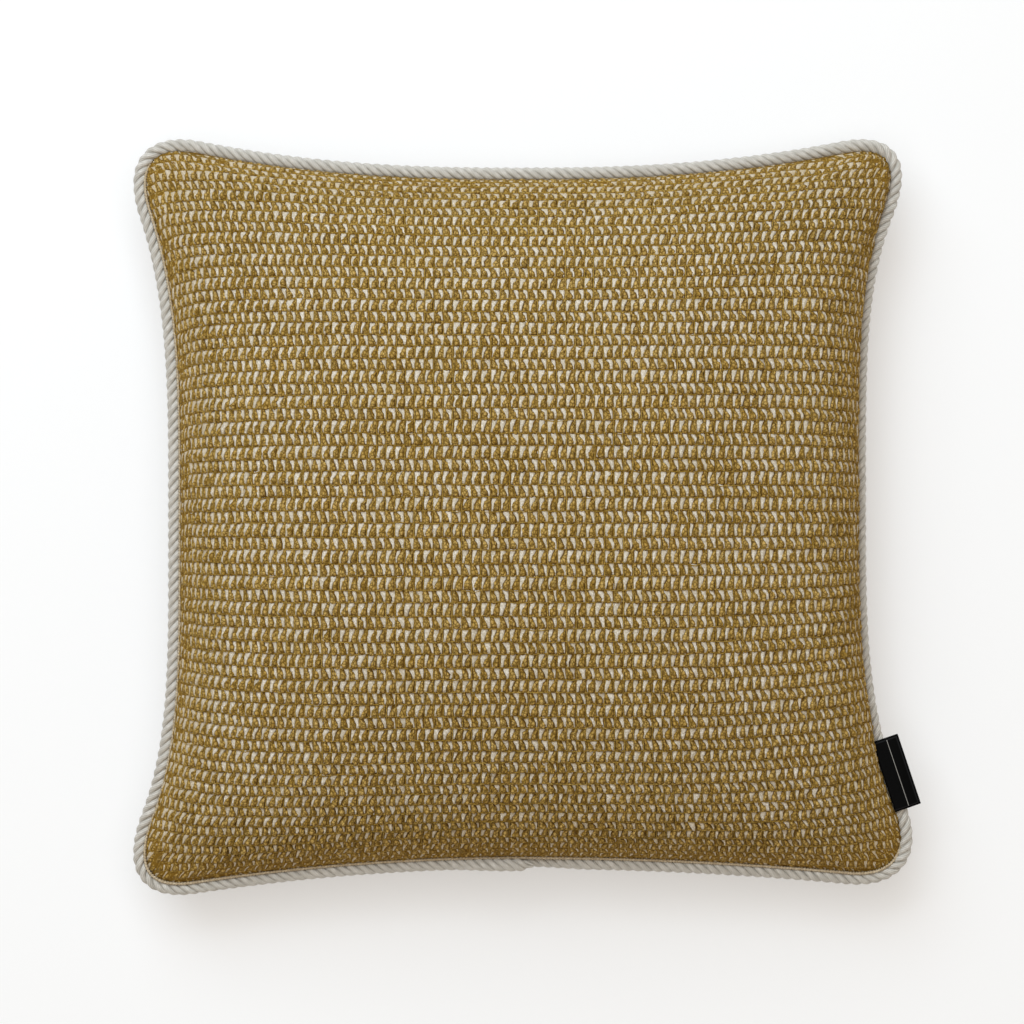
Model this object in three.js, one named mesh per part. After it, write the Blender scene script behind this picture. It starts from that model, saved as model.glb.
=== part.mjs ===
// Filled square cushion with a crochet cover, edged with a twisted cord whose two ends cross at the
// middle of the lower side, and with a folded label sewn into the right-hand seam.
// The cushion lies on its back. Millimetres, +Z up, +Y towards the top of the face, and the origin
// on the floor under the middle of the cushion.

import * as THREE from 'three';

// Filled cover
const SEAM_HEIGHT = 62; // seam above the floor at the middle of each side
const SEAM_THICKNESS = 3; // both cloths where they are sewn together
const FRONT_CROWN = 88; // rise of the face above the seam
const BACK_CROWN = 84; // fall of the back below the seam, before the floor flattens it
const FLOOR_BLEND = 8; // height over which the back turns onto the floor
const CORNER_DROOP = 12; // the corners hang this far below the middle of the sides
const CROWN_FLATNESS = 2.4; // power of the crown: higher is flatter in the middle
const CROWN_EDGE = 0.6; // power of the crown: lower is steeper at the seam
const FILLING_SETTLE = 0.05; // how far the filling has sunk, as a share of half the height
const CORNER_ROUND = 0.21; // corner radius, as a share of half the side
const COVER_STEPS = 16; // grid steps from the middle of the cover to its seam
const COVER_CROWDING = 0.7; // 0 spaces the grid evenly, 1 crowds it most towards the seam

// Reach of the seam from the middle of the cushion. Start is the left or the lower end of a side.
// An end is measured to where the side would meet its neighbour if the corner were sharp.
// Flare is the power of the way out to an end: a higher one keeps the flare closer to the corner.
const SIDES = {
  top: { start: 250, middle: 218.4, end: 250, startFlare: 2.4, endFlare: 2.4 },
  bottom: { start: 248.5, middle: 221.4, end: 238.5, startFlare: 2, endFlare: 2 },
  left: { start: 268.5, middle: 220, end: 264, startFlare: 4.1, endFlare: 3.4 },
  right: { start: 271.5, middle: 217.6, end: 267.5, startFlare: 3.1, endFlare: 4.2 },
};

// Twisted edge cord
const CORD_RADIUS = 4;
const CORD_VALLEY_RADIUS = 2.9; // between two strands
const CORD_STRANDS = 3;
const CORD_LAY = 19.5; // length in which a strand goes once round
const CORD_STEPS_PER_LAY = 8;
const CORD_OVERLAP = 9; // each end runs this far past the crossing
const CORD_END_TAPER = 9; // length over which an end thins
const CORD_TIP_SHARE = 0.4; // radius of a tip, as a share of the cord's
const CORD_CROSSING_RUN = 46; // length over which an end rises or dips to the crossing
const SEAM_SAMPLES = 720;

// Folded label
const LABEL_LENGTH = 48;
const LABEL_REACH = 18; // from the seam to the fold
const LABEL_SEAM_GAP = 1.5; // the label is straight and the seam is a little curved
const LABEL_LAYER = 1;
const LABEL_LAYER_GAP = 0.5;
const LABEL_PLACE = -0.711; // along the right-hand side: -1 is its lower end, 1 its upper end

// Space between neighbouring pieces
const GAP = 0.3;

const UP = new THREE.Vector3(0, 0, 1);

// Reach of one side at a place along it, from -1 at its start to 1 at its end.
function reach(side, along) {
  const [end, flare] = along < 0 ? [side.start, side.startFlare] : [side.end, side.endFlare];
  return side.middle + (end - side.middle) * Math.abs(along) ** flare;
}

// The cover is drawn on a square of cloth, across and along from -1 to 1. This pulls the square's
// corners in to quarter circles, each point along its ray from the middle.
function pulledIn(across, along) {
  const far = Math.max(Math.abs(across), Math.abs(along));
  const near = Math.min(Math.abs(across), Math.abs(along));
  const straight = 1 - CORNER_ROUND;
  if (near <= straight * far) return [across, along];
  const length = Math.hypot(across, along);
  const sum = (straight * (far + near)) / length;
  const toRim = sum + Math.sqrt(sum * sum - 2 * straight ** 2 + CORNER_ROUND ** 2);
  const pull = (toRim * far) / length;
  return [across * pull, along * pull];
}

// Place of a pulled-in point, seen from above.
function plan(s, t) {
  const x = s * reach(s < 0 ? SIDES.left : SIDES.right, t);
  const y = t * reach(t < 0 ? SIDES.bottom : SIDES.top, s);
  return [x, y];
}

// Height of the seam's level, which droops towards the corners.
function seamLevel(s, t) {
  return SEAM_HEIGHT - CORNER_DROOP * (s * t) ** 2;
}

// Crown of a cushion with sharp corners, before its edge is made steep.
function sharpCrown(s, t) {
  const settled = t + FILLING_SETTLE * (1 - t * t);
  return (1 - Math.abs(s) ** CROWN_FLATNESS) * (1 - Math.abs(settled) ** CROWN_FLATNESS);
}

// How full the cushion is at a point of the cloth: 0 all along the seam, 1 where it is thickest.
function fullness(across, along) {
  const [s, t] = pulledIn(across, along);
  const share = Math.max(Math.abs(across), Math.abs(along));
  const leftAtSeam = share === 0 ? 0 : share ** 2 * sharpCrown(s / share, t / share);
  return Math.max(0, sharpCrown(s, t) - leftAtSeam) ** CROWN_EDGE;
}

// Lays a height that is near or under the floor flat on the floor, with a soft turn.
function laidOnFloor(height) {
  if (height >= FLOOR_BLEND) return height;
  if (height <= -FLOOR_BLEND) return 0;
  return (height + FLOOR_BLEND) ** 2 / (4 * FLOOR_BLEND);
}

function frontHeight(across, along) {
  const level = seamLevel(...pulledIn(across, along));
  return level + SEAM_THICKNESS / 2 + FRONT_CROWN * fullness(across, along);
}

function backHeight(across, along) {
  const level = seamLevel(...pulledIn(across, along));
  return laidOnFloor(level - SEAM_THICKNESS / 2 - BACK_CROWN * fullness(across, along));
}

// Grid line number k of the cover, from -1 to 1, closer together towards the seam.
function gridLine(k) {
  const even = k / COVER_STEPS - 1;
  return THREE.MathUtils.lerp(even, Math.sin((even * Math.PI) / 2), COVER_CROWDING);
}

function solid(positions, triangles) {
  const geometry = new THREE.BufferGeometry();
  geometry.setAttribute('position', new THREE.Float32BufferAttribute(positions, 3));
  geometry.setIndex(triangles);
  geometry.computeVertexNormals();
  return geometry;
}

// Front and back are two grids over the same square, joined by a narrow wall along the seam.
function coverGeometry() {
  const lines = 2 * COVER_STEPS + 1;
  const positions = [];
  const triangles = [];
  for (const height of [frontHeight, backHeight]) {
    for (let row = 0; row < lines; row++) {
      for (let column = 0; column < lines; column++) {
        const across = gridLine(column);
        const along = gridLine(row);
        positions.push(...plan(...pulledIn(across, along)), height(across, along));
      }
    }
  }
  const front = (column, row) => row * lines + column;
  const back = (column, row) => lines * lines + front(column, row);
  const quad = (a, b, c, d) => triangles.push(a, b, c, a, c, d);

  // Each square is split along the diagonal that points to the nearest corner.
  for (let row = 0; row < lines - 1; row++) {
    for (let column = 0; column < lines - 1; column++) {
      const ring = [[column, row], [column + 1, row], [column + 1, row + 1], [column, row + 1]];
      const sameSign = column < COVER_STEPS === row < COVER_STEPS;
      const [a, b, c, d] = sameSign ? ring : [ring[1], ring[2], ring[3], ring[0]];
      quad(front(...a), front(...b), front(...c), front(...d));
      quad(back(...a), back(...d), back(...c), back(...b));
    }
  }
  const last = lines - 1;
  for (let k = 0; k < last; k++) {
    quad(back(k, 0), back(k + 1, 0), front(k + 1, 0), front(k, 0));
    quad(back(last, k), back(last, k + 1), front(last, k + 1), front(last, k));
    quad(back(k + 1, last), back(k, last), front(k, last), front(k + 1, last));
    quad(back(0, k + 1), back(0, k), front(0, k), front(0, k + 1));
  }
  return solid(positions, triangles);
}

// Point of the seam on the ray at an angle from the middle, seen from above.
function seamPoint(angle) {
  const across = Math.cos(angle);
  const along = Math.sin(angle);
  const far = Math.max(Math.abs(across), Math.abs(along));
  const [s, t] = pulledIn(across / far, along / far);
  return new THREE.Vector3(...plan(s, t), seamLevel(s, t));
}

// Direction away from the cushion, level, square to a direction that runs anticlockwise round it.
function outwardOf(tangent) {
  return new THREE.Vector3(tangent.y, -tangent.x, 0).normalize();
}

// Closed line of the cord's middle, beside the seam, anticlockwise from the middle of the lower side.
function cordLoop() {
  const points = [];
  const turn = (2 * Math.PI) / SEAM_SAMPLES;
  for (let k = 0; k < SEAM_SAMPLES; k++) {
    const angle = -Math.PI / 2 + k * turn;
    const tangent = seamPoint(angle + turn / 2).sub(seamPoint(angle - turn / 2));
    points.push(seamPoint(angle).addScaledVector(outwardOf(tangent), CORD_RADIUS + GAP));
  }
  const loop = new THREE.CatmullRomCurve3(points, true);
  loop.arcLengthDivisions = 4 * SEAM_SAMPLES;
  return loop;
}

// The cord is one length: it starts under the crossing, goes round, and ends on top of its start.
function cordGeometry() {
  const loop = cordLoop();
  const round = loop.getLength();
  const run = round + 2 * CORD_OVERLAP;
  const sections = Math.round((run / CORD_LAY) * CORD_STEPS_PER_LAY);
  const corners = 2 * CORD_STRANDS;
  const crossingOffset = CORD_RADIUS + GAP;
  const share = (distance) => THREE.MathUtils.euclideanModulo(distance / round, 1);
  const near = (distance) => 1 - THREE.MathUtils.smoothstep(distance, CORD_OVERLAP, CORD_CROSSING_RUN);

  const positions = [];
  const triangles = [];
  for (let k = 0; k <= sections; k++) {
    const distance = -CORD_OVERLAP + (run * k) / sections;
    const middle = loop.getPointAt(share(distance));
    const outward = outwardOf(loop.getTangentAt(share(distance)));
    middle.z += crossingOffset * (near(Math.abs(round - distance)) - near(Math.abs(distance)));
    const toTip = Math.min(distance + CORD_OVERLAP, run - CORD_OVERLAP - distance);
    const thinned = THREE.MathUtils.smoothstep(toTip, 0, CORD_END_TAPER);
    const size = THREE.MathUtils.lerp(CORD_TIP_SHARE, 1, thinned);
    for (let corner = 0; corner < corners; corner++) {
      const radius = size * (corner % 2 === 0 ? CORD_RADIUS : CORD_VALLEY_RADIUS);
      const angle = 2 * Math.PI * (corner / corners - distance / CORD_LAY);
      const point = middle.clone();
      point.addScaledVector(outward, radius * Math.cos(angle));
      point.addScaledVector(UP, radius * Math.sin(angle));
      positions.push(point.x, point.y, point.z);
    }
  }
  for (let k = 0; k < sections; k++) {
    for (let corner = 0; corner < corners; corner++) {
      const next = (corner + 1) % corners;
      const here = k * corners;
      const there = here + corners;
      triangles.push(here + corner, there + next, here + next);
      triangles.push(here + corner, there + corner, there + next);
    }
  }
  const end = sections * corners;
  for (let corner = 1; corner < corners - 1; corner++) {
    triangles.push(0, corner, corner + 1);
    triangles.push(end, end + corner + 1, end + corner);
  }
  return solid(positions, triangles);
}

// Section of the folded label: two layers from the seam to the fold, x outwards and y up.
function labelSection() {
  const thickness = 2 * LABEL_LAYER + LABEL_LAYER_GAP;
  const foldRadius = thickness / 2;
  const foldStart = LABEL_REACH - foldRadius;
  const quarter = Math.PI / 2;
  const section = new THREE.Shape();
  section.moveTo(LABEL_SEAM_GAP, 0);
  section.lineTo(foldStart, 0);
  section.absarc(foldStart, foldRadius, foldRadius, -quarter, quarter, false);
  section.lineTo(LABEL_SEAM_GAP, thickness);
  section.lineTo(LABEL_SEAM_GAP, thickness - LABEL_LAYER);
  section.lineTo(foldStart, thickness - LABEL_LAYER);
  section.absarc(foldStart, foldRadius, LABEL_LAYER_GAP / 2, quarter, -quarter, true);
  section.lineTo(LABEL_SEAM_GAP, LABEL_LAYER);
  section.closePath();
  return section;
}

// The label lies on the cord, square to the seam at its own middle.
function labelMesh(material) {
  const geometry = new THREE.ExtrudeGeometry(labelSection(), {
    depth: LABEL_LENGTH,
    bevelEnabled: false,
    curveSegments: 8,
  });
  geometry.translate(0, 0, -LABEL_LENGTH / 2);
  const angle = Math.atan2(LABEL_PLACE, 1);
  const step = Math.PI / SEAM_SAMPLES;
  const tangent = seamPoint(angle + step).sub(seamPoint(angle - step)).normalize();
  const outward = outwardOf(tangent);
  const lift = new THREE.Vector3().crossVectors(outward, tangent);
  const mesh = new THREE.Mesh(geometry, material);
  const backwards = tangent.clone().negate();
  mesh.setRotationFromMatrix(new THREE.Matrix4().makeBasis(outward, lift, backwards));
  mesh.position.copy(seamPoint(angle)).addScaledVector(lift, CORD_RADIUS + GAP);
  return mesh;
}

function cloth(color, roughness) {
  return new THREE.MeshStandardMaterial({ color, roughness, metalness: 0 });
}

const cushion = new THREE.Group();

const cover = new THREE.Mesh(coverGeometry(), cloth(0xa8894f, 0.9));
cover.name = 'filled_cover';
cushion.add(cover);

const cord = new THREE.Mesh(cordGeometry(), cloth(0xd9d4ca, 0.7));
cord.name = 'edge_cord';
cushion.add(cord);

const label = labelMesh(cloth(0x101013, 0.6));
label.name = 'side_label';
cushion.add(label);

export default cushion;
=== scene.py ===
import math

import bpy
import numpy as np
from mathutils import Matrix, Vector


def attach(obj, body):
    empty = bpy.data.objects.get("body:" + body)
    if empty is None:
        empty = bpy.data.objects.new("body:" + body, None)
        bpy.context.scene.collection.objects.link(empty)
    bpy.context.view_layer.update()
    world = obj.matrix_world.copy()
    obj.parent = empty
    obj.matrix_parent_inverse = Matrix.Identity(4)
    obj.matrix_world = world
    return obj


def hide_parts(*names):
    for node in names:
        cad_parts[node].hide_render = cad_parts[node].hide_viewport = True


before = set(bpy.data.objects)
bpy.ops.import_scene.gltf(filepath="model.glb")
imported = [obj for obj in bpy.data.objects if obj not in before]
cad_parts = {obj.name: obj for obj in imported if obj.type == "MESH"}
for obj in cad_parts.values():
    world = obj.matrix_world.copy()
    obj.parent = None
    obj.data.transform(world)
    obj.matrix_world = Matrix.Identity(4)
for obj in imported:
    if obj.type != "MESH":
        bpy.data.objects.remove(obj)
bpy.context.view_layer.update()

MM = 0.001  # every size below is in millimetres, and the scene is in metres
TINY = 1e-9  # keeps a division from dividing by nothing
rng = np.random.default_rng(41)

# Filled cover: the same driving sizes as its solid
SEAM_HEIGHT = 62.0
SEAM_THICKNESS = 3.0
FRONT_CROWN = 88.0
BACK_CROWN = 84.0
FLOOR_BLEND = 8.0
CORNER_DROOP = 12.0
CROWN_FLATNESS = 2.4
CROWN_EDGE = 0.6
FILLING_SETTLE = 0.05
CORNER_ROUND = 0.21

# Reach of the seam from the middle: start, middle and end of each side, and the power of both flares
TOP_SIDE = (250.0, 218.4, 250.0, 2.4, 2.4)
BOTTOM_SIDE = (248.5, 221.4, 238.5, 2.0, 2.0)
LEFT_SIDE = (268.5, 220.0, 264.0, 4.1, 3.4)
RIGHT_SIDE = (271.5, 217.6, 267.5, 3.1, 4.2)

# Backing cloth under the stitches, and how the filling swells it
COVER_LINES = 81
STITCH_DEPTH = 2.6  # the stitches stand this far out of the backing
STITCH_SINK = 0.8  # and their roots lie this far inside it
SWELL_START = 0.955  # share of the crown before the filling swells it
SWELL_CAP = 6.0
SWELL_ROUNDS = 3  # of evening out the simulated swelling
FILLING_PRESSURE = 4.0
CLOTH_QUALITY = 6
CLOTH_FRAMES = 20

# Roll of the face over the seam, with places as shares of the way across or in from the seam
ROLL_RIGHT = 6.5  # outwards on the right
ROLL_TOP = 3.0  # and on the upper side
ROLL_RISE = (0.0, 0.02)  # from nothing on the seam to all of it
ROLL_FADE = (0.05, 0.35)  # and back to nothing further in
ROLL_SIDE = (0.4, 0.95)  # from the middle out to the side that it rolls over
ROLL_ABOVE = (-0.85, -0.5)  # on the right it starts above the lower corner

# Crochet stitches
COLUMNS = 84
ROWS = 65
ROW_CLOSING = 0.06  # rows lie this much closer than even at the seam, and wider apart in the middle
TALL_ROW_SHARE = 0.535  # of the height of a pair of rows
ROW_BEND = 0.075  # how far the firm cord draws the rows together along the left and right seams
ROW_BEND_WIDTH = 0.17
ROW_BEND_LEVEL = -0.07  # the row that stays straight, as a share of the cloth
ROW_BEND_FADE = 6  # power by which the bend fades towards the corners
ZIGZAG = 0.02  # columns sway this far from row to row
STITCH_REACH = 1.02  # the middles of the stitches lie within this share of the way to the seam
TABLE_LINES = 161  # of the tables that space the stitches evenly over the crown
TABLE_ROUNDS = 4  # of look-up in both tables
TABLE_EDGE = 1e-4  # look-ups stay this far inside a table's last line
NORMAL_STEP = 0.004  # between the points that give the backing's outward direction
NORMAL_REACH = 0.985  # share of the way to the seam from which that direction stays the same

# Yarn close to the seam
RIM_START = 0.8  # share of the way to the seam from which its pull shows
RIM_FULLNESS = 0.3  # share of its width that the white yarn gains at the left and upper seams
RIM_PAINTED_SHADE = 0.38  # share of its height that the white yarn's colour loses at the seam, which paints shade there
GOLD_RIM_SHADE_SHARE = 0.5  # of that, the share of painted shade that the gold yarn takes in its turn
SEAM_TIGHTNESS = 0.4  # share of its width that the white yarn loses at the tightest seams
SEAM_FLATTENING = 0.6  # share of its rise that all yarn loses on the seam
SEAM_FLAT_WIDTH = 0.1  # and the share of the way in over which it regains it

# Unevenness of stitches made by hand: random spreads, as shares of a stitch
STITCH_WANDER = 0.035
STITCH_TALLNESS = 0.1
RING_WIDTH_SPREAD = 0.12
RING_RISE_SPREAD = 0.15
FULLNESS_SPREAD = 0.14  # of the white yarn's width from one stitch to the next
FULLNESS_PATCHES = ((6, 0.05), (2, 0.1))  # patches of so many stitches, and how far they differ
FULLNESS_RANGE = (-0.35, 0.4)
GOLD_GIVE = 0.3  # share of the white yarn's fullness by which the gold yarn narrows
SHORT_ROW_WIDTH = 0.88  # of the white yarn in short rows
TALL_ROW_WIDTH = 1.0

# Tones: 0 is a yarn's shade and 1 its tint
MIDDLE_TONE = 0.5
WHITE_TONE_SPREAD = 0.2
GOLD_TONE_SPREAD = 0.1
GOLD_TONE_PATCH = 5  # stitches
GOLD_TONE_PATCH_SPREAD = 0.04
THREAD_TONE = 0.6
THREAD_TONE_SPREAD = 0.12
STRAND_TONE_SPREAD = 0.1
CORD_TONES = (0.45, 0.5, 0.55)

# Thin threads between the columns, in columns and rows
FACE_THREAD_PLACES = (0.2, 0.85)  # up each row
BACK_THREAD_PLACES = (0.25,)
THREAD_HALF_WIDTH = 0.14
THREAD_WIDTH_SPREAD = 0.15
THREAD_SWAY = 0.03
THREAD_RISE_BELOW = 3.0  # millimetres, in the lower half of each row
THREAD_RISE_ABOVE = 2.2  # and in the upper half

# Thin strands between the rows, in columns and rows
ROW_STRAND_HALF_WIDTH = 0.1
ROW_STRAND_SWAY = 0.06
ROW_STRAND_START = 0.1
ROW_STRAND_RISE = 2.9  # millimetres

# Winding of the fibres: how many lie round a yarn, and how often they turn along it
STITCH_WINDING = (4, 3)
THREAD_WINDING = (2, 150)
CORD_WINDING = (9, 60)
TAPE_WINDING = (3, 900)
WINDING_SHIFT = 0.37  # turns between one tube and the next
TILE_INSET = 0.04  # share of its tile that a tube's bake map keeps free at each edge

# Edge cord
CORD_RADIUS = 4.0
CORD_GAP = 0.3
CORD_TUCK = 0.4  # the soft cord is a little fuller than its solid and lies closer to the seam
CORD_STRANDS = 3
CORD_LAY = 19.5
STRAND_RADIUS = 2.0
STRAND_ORBIT = 2.4
STRAND_SIDES = 8
STRAND_STEPS_PER_LAY = 17
STRAND_GROOVE = 0.9  # how fast the height falls from a strand's outer side to its inner side, which paints shade in the grooves between the strands
CORD_OVERLAP = 9.0
CORD_END_TAPER = 9.0
CORD_TIP_SHARE = 0.4
CORD_CROSSING_RUN = 46.0
CORD_CROSSING_SHIFT = 1.0  # outwards for the end on top, inwards for the one below
SEAM_SAMPLES = 2880

# Sewing tape of the cord
TAPE_RADIUS = 1.0
TAPE_SWELL = (0.95, 0.4)  # middle and swing of the radius over one machine stitch
TAPE_STITCH = 1.9
TAPE_STITCH_STEPS = 3
TAPE_SIDES = 4
TAPE_OUT = (0.2, 0.1)  # outwards from the seam, and so much more where it shows
TAPE_LIFT = 4.6
TAPE_SHOWN = 0.35  # share of the lift all round
TAPE_SHOWN_LEFT = 0.3  # and so much more on the left and less on the right
TAPE_SHOWN_BELOW = 0.75  # more along the lower side and less along the upper one

# Folded label
LABEL_LENGTH = 48.0
LABEL_REACH = 18.0
LABEL_PLACE = -0.711  # along the right side, from -1 at its lower end to 1 at its upper end
LABEL_LAYER = 0.5
LABEL_LAYER_GAP = 1.2
LABEL_START = 0.6  # of the ribbon, from the seam
LABEL_BOW = 0.5  # of the upper layer
LABEL_WAVE = 0.35  # of the ribbon along its length
LABEL_WAVE_RUN = 9.0  # to each radian of the wave
LABEL_WAVE_START = 6.0  # of the wave, from the seam
LABEL_LAYER_LINES = 18
LABEL_FOLD_LINES = 9
LABEL_COLUMNS = 25
LABEL_FOLD_EDGE = 0.6  # of the upper layer, from the middle of the fold
LABEL_BORDER = 1.3  # of the woven border, from the edges
LABEL_BORDER_HALF_WIDTH = 0.3
LABEL_LINE = 7.8  # of the woven line, from the fold
LABEL_LINE_HALF_WIDTH = 0.2
LABEL_RIB = 0.55  # from rib to rib of the weave

# Patterns
BAND = 0.314  # scale of a wave texture with one band to each unit of its map
FUZZ_SIZE = 0.8
INNER_STRAND_SIZE = 2.5

# Backdrop: from here on the floor sweeps up
BACKDROP_START = 4500.0
BACKDROP_SWEEP = 1500.0
BACKDROP_LINES = (17, 97)  # up the sweep and round it

# Camera: distance above the seam, and the width of the picture at the seam
CAMERA_HEIGHT = 2300.0
PICTURE_WIDTH = 665.6
PICTURE_MIDDLE = (-4.55, 2.6)


def linear(colour):
    """Linear red, green, blue and full opacity of an sRGB hex colour."""
    srgb = np.array([int(colour[k:k + 2], 16) for k in (0, 2, 4)]) / 255
    value = np.where(srgb <= 0.04045, srgb / 12.92, ((srgb + 0.055) / 1.055) ** 2.4)
    return (*value.tolist(), 1.0)


def add_node(tree, kind, inputs=None, **settings):
    """Adds one node. Inputs maps a socket's name or number to a value, or to a socket to link."""
    node = tree.nodes.new(kind)
    for key, value in settings.items():
        setattr(node, key, value)
    for key, value in (inputs or {}).items():
        if isinstance(value, bpy.types.NodeSocket):
            tree.links.new(value, node.inputs[key])
        else:
            node.inputs[key].default_value = value
    return node


def new_material(name):
    """An empty node material, its tree and its output node."""
    material = bpy.data.materials.new(name)
    material.use_nodes = True
    material.node_tree.nodes.clear()
    output = add_node(material.node_tree, "ShaderNodeOutputMaterial")
    return material, material.node_tree, output


def make_piece(name, points, faces, material, maps=None, numbers=None):
    """Smooth mesh object from points in millimetres and arrays of three or four corners a face.

    Maps hold one (u, v) for each face corner in the order of the faces, numbers one value a point.
    """
    mesh = bpy.data.meshes.new(name)
    mesh.vertices.add(len(points))
    mesh.vertices.foreach_set("co", (np.asarray(points) * MM).astype(np.float32).ravel())
    corners = np.concatenate([part.ravel() for part in faces]).astype(np.int32)
    sizes = np.concatenate([np.full(len(part), part.shape[1]) for part in faces])
    mesh.loops.add(len(corners))
    mesh.loops.foreach_set("vertex_index", corners)
    mesh.polygons.add(len(sizes))
    starts = np.concatenate([[0], np.cumsum(sizes)[:-1]]).astype(np.int32)
    mesh.polygons.foreach_set("loop_start", starts)
    mesh.polygons.foreach_set("use_smooth", np.ones(len(sizes), bool))
    mesh.update(calc_edges=True)
    for key, places in (maps or {}).items():
        layer = mesh.uv_layers.new(name=key)
        layer.data.foreach_set("uv", np.asarray(places, np.float32).ravel())
    for key, values in (numbers or {}).items():
        attribute = mesh.attributes.new(key, "FLOAT", "POINT")
        attribute.data.foreach_set("value", values.astype(np.float32))
    if material:
        mesh.materials.append(material)
    piece = bpy.data.objects.new(name, mesh)
    bpy.context.scene.collection.objects.link(piece)
    return piece


def smooth_step(value, low, high):
    """Rises from 0 at low to 1 at high with level ends."""
    x = np.clip((value - low) / (high - low), 0, 1)
    return x * x * (3 - 2 * x)


# Shape of the cover

def reach(side, along):
    """Reach of a side: its middle, plus the way out to its nearer end times the place to a power."""
    start, middle, end, start_flare, end_flare = side
    way_out = np.where(along < 0, start, end) - middle
    return middle + way_out * np.abs(along) ** np.where(along < 0, start_flare, end_flare)


def corner_pull(across, along):
    """Share of its way that a ray's point keeps when the square's corners become quarter circles."""
    far = np.maximum(np.abs(across), np.abs(along))
    near = np.minimum(np.abs(across), np.abs(along))
    length = np.maximum(np.hypot(across, along), TINY)
    straight = 1 - CORNER_ROUND
    total = straight * (far + near) / length
    to_rim = total + np.sqrt(np.maximum(total ** 2 - 2 * straight ** 2 + CORNER_ROUND ** 2, 0))
    return np.where(near <= straight * far, 1.0, to_rim * far / length)


def seam_share(s, t):
    """How far out a point of the cloth lies on its ray: 0 in the middle, 1 on the rounded seam."""
    return np.maximum(np.abs(s), np.abs(t)) / corner_pull(s, t)


def plan(s, t):
    """Place of a point of the cloth seen from above: each coordinate times its side's reach."""
    x = s * np.where(s < 0, reach(LEFT_SIDE, t), reach(RIGHT_SIDE, t))
    y = t * np.where(t < 0, reach(BOTTOM_SIDE, s), reach(TOP_SIDE, s))
    return x, y


def seam_level(s, t):
    """Height of the seam, which droops by the square of both coordinates towards the corners."""
    return SEAM_HEIGHT - CORNER_DROOP * (s * t) ** 2


def sharp_crown(s, t):
    """Product of one minus a power of each coordinate, the filling a little settled downwards."""
    settled = t + FILLING_SETTLE * (1 - t * t)
    one = np.maximum(1 - np.abs(s) ** CROWN_FLATNESS, 0)
    return one * np.maximum(1 - np.abs(settled) ** CROWN_FLATNESS, 0)


def fullness(s, t):
    """Sharp crown less what it still has where its ray meets the seam, to a power: 0 on the seam."""
    share = np.maximum(seam_share(s, t), TINY)
    left_at_seam = share ** 2 * sharp_crown(s / share, t / share)
    return np.maximum(sharp_crown(s, t) - left_at_seam, 0) ** CROWN_EDGE


def laid_on_floor(height):
    """Height that turns softly onto the floor: a parabola over the blend, then flat."""
    turning = (np.clip(height, -FLOOR_BLEND, FLOOR_BLEND) + FLOOR_BLEND) ** 2 / (4 * FLOOR_BLEND)
    return np.where(height >= FLOOR_BLEND, height, turning)


def cover_height(s, t, front, crown_share):
    """Height of the backing: the seam's level plus the crown of the face, or less that of the back.

    The back is then laid on the floor, a stitch's depth above it.
    """
    level = seam_level(s, t)
    if front:
        return level + SEAM_THICKNESS / 2 + crown_share * (FRONT_CROWN - STITCH_DEPTH) * fullness(s, t)
    hanging = crown_share * BACK_CROWN * fullness(s, t)
    return STITCH_DEPTH + laid_on_floor(level - SEAM_THICKNESS / 2 - STITCH_DEPTH - hanging)


def face_roll(s, t):
    """How far the face has rolled right and up over the seam: nothing on the seam, most just inside it."""
    inside = 1 - seam_share(s, t)
    near_seam = smooth_step(inside, *ROLL_RISE) * (1 - smooth_step(inside, *ROLL_FADE))
    right = ROLL_RIGHT * smooth_step(s, *ROLL_SIDE) * smooth_step(t, *ROLL_ABOVE)
    return near_seam * right, near_seam * ROLL_TOP * smooth_step(t, *ROLL_SIDE)


def cover_start(s, t, front):
    """Points of the backing cloth before the filling swells it: its plan, its roll and its height."""
    x, y = plan(s, t)
    if front:
        right, up = face_roll(s, t)
        x, y = x + right, y + up
    return np.stack([x, y, cover_height(s, t, front, SWELL_START)], axis=-1)


# Padded cover, swelled by a cloth simulation

def grid_faces(rows, columns, first=0):
    """Corner numbers of the quads of a grid, anticlockwise when columns go right and rows go up."""
    number = first + np.arange(rows * columns).reshape(rows, columns)
    ring = [number[:-1, :-1], number[:-1, 1:], number[1:, 1:], number[1:, :-1]]
    return np.stack(ring, axis=-1).reshape(-1, 4)


def crowded_lines(count):
    """Lines of a grid from -1 to 1: the sine of an even spacing, so that they crowd at the seam."""
    return np.sin(np.linspace(-np.pi / 2, np.pi / 2, count))


def line_place(line):
    """Place of a coordinate among the evenly numbered lines, from -1 to 1: the sine undone."""
    return np.arcsin(np.clip(line, -1, 1)) * 2 / np.pi


def rim_numbers():
    """Numbers of a grid's outer points, anticlockwise from its first corner."""
    number = np.arange(COVER_LINES ** 2).reshape(COVER_LINES, COVER_LINES)
    return np.concatenate([number[0, :-1], number[:-1, -1], number[-1, :0:-1], number[:0:-1, 0]])


def look_up(table, down, across):
    """Value of a table at places from -1 to 1 down its rows and across its columns, bilinear."""
    rows, columns = table.shape[:2]
    y = np.clip((down + 1) / 2 * (rows - 1), 0, rows - 1 - TABLE_EDGE)
    x = np.clip((across + 1) / 2 * (columns - 1), 0, columns - 1 - TABLE_EDGE)
    row, column = y.astype(int), x.astype(int)
    fy, fx = y - row, x - column
    if table.ndim == 3:
        fy, fx = fy[..., None], fx[..., None]
    low = table[row, column] * (1 - fx) + table[row, column + 1] * fx
    high = table[row + 1, column] * (1 - fx) + table[row + 1, column + 1] * fx
    return low * (1 - fy) + high * fy


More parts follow.
